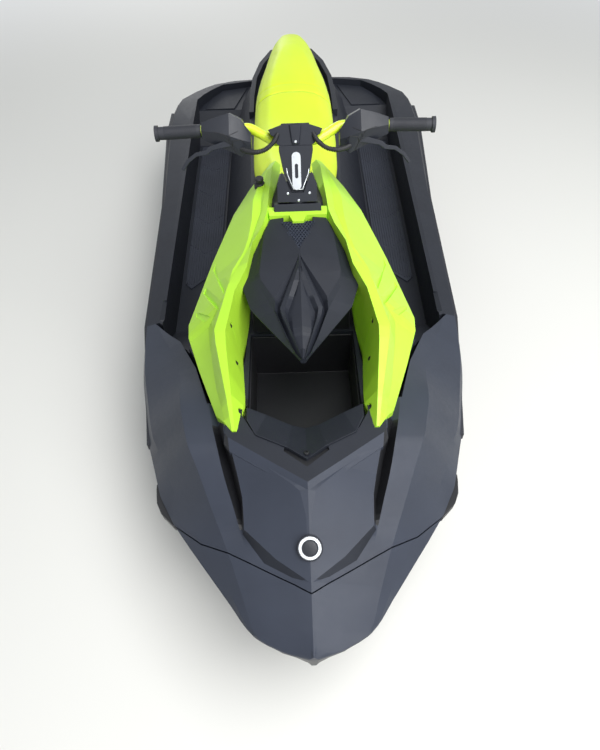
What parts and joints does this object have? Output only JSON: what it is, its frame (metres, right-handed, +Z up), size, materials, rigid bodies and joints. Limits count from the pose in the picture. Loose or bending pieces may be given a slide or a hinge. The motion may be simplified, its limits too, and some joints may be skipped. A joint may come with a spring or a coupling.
{
  "type": "personal watercraft",
  "caption": "Open personal watercraft for two with a saddle seat, footwells, framed console over an open bow locker, handlebar steering and jet drive.",
  "frame": {"origin": "on the floor under the middle of the boat", "axes": "+Z up, bow towards -Y, port towards +X"},
  "size_m": [1.18, 2.79, 1.0776],
  "materials": {
    "hull_black": "smooth satin moulding",
    "deck_slate": "fine-grained matt moulding",
    "lime": "satin coloured moulding",
    "bar_yellow": "powder coat",
    "seat_vinyl": "fine-grained vinyl",
    "mat_rubber": "ribbed foam rubber",
    "grip_rubber": "soft matt rubber",
    "control_plastic": "satin black",
    "riser_metal": "brushed",
    "steel": "brushed stainless",
    "engine_block": "plain block"
  },
  "bodies": {
    "boat": {"arm_port": "lime", "arm_starboard": "lime", "badge_disc": "deck_slate", "beak": "deck_slate", "beak_vent": "control_plastic", "bow_eye": "steel", "bow_tub": "hull_black", "console": "hull_black", "deck": "deck_slate", "drain_plugs": "control_plastic", "engine": "engine_block", "exo_bridge": "lime", "front_bumpers": "deck_slate", "hood": "deck_slate", "hull": "hull_black", "intake_grate": "steel", "lanyard_post": "control_plastic", "lip_cover": "deck_slate", "mats": "mat_rubber", "nose_panel": "deck_slate", "pump_housing": "hull_black", "ride_plate": "hull_black", "rub_rail": "mat_rubber", "seat": "seat_vinyl", "steering_foot": "control_plastic", "step_pads": "mat_rubber", "stern_eyes": "steel", "tail_cowl": "deck_slate", "venturi": "hull_black"},
    "steering": {"column": "control_plastic"},
    "bars": {"bar_cover": "control_plastic", "conduits": "control_plastic", "grips": "grip_rubber", "handlebar": "bar_yellow", "levers": "control_plastic", "pod_port": "control_plastic", "pod_starboard": "control_plastic", "riser": "riser_metal", "riser_plate": "riser_metal"},
    "impeller": {"impeller": "steel"},
    "nozzle": {"steering_nozzle": "hull_black"},
    "bucket": {"reverse_bucket": "hull_black"}
  },
  "joints": [
    {"name": "steer", "type": "hinge", "parent": "boat", "child": "steering", "pos_m": [0, -0.293, 0.85], "axis": [0, 0.5, 0.866], "range_deg": [-25, 25]},
    {"name": "riser_height", "type": "slide", "parent": "steering", "child": "bars", "axis": [0, 0.5, 0.866], "range_m": [0, 0.06]},
    {"name": "impeller_spin", "type": "hinge", "parent": "boat", "child": "impeller", "pos_m": [0, 1.005, 0.15], "axis": [0, 1, 0], "continuous": true},
    {"name": "nozzle_turn", "type": "hinge", "parent": "boat", "child": "nozzle", "pos_m": [0, 1.25, 0.15], "axis": [0, 0, 1], "range_deg": [-20, 20]},
    {"name": "bucket_drop", "type": "hinge", "parent": "boat", "child": "bucket", "pos_m": [0, 1.2, 0.15], "axis": [-1, 0, 0], "range_deg": [0, 60]}
  ],
  "couplings": [
    {"joint": "nozzle_turn", "follows": "steer", "ratio": -0.8}
  ]
}
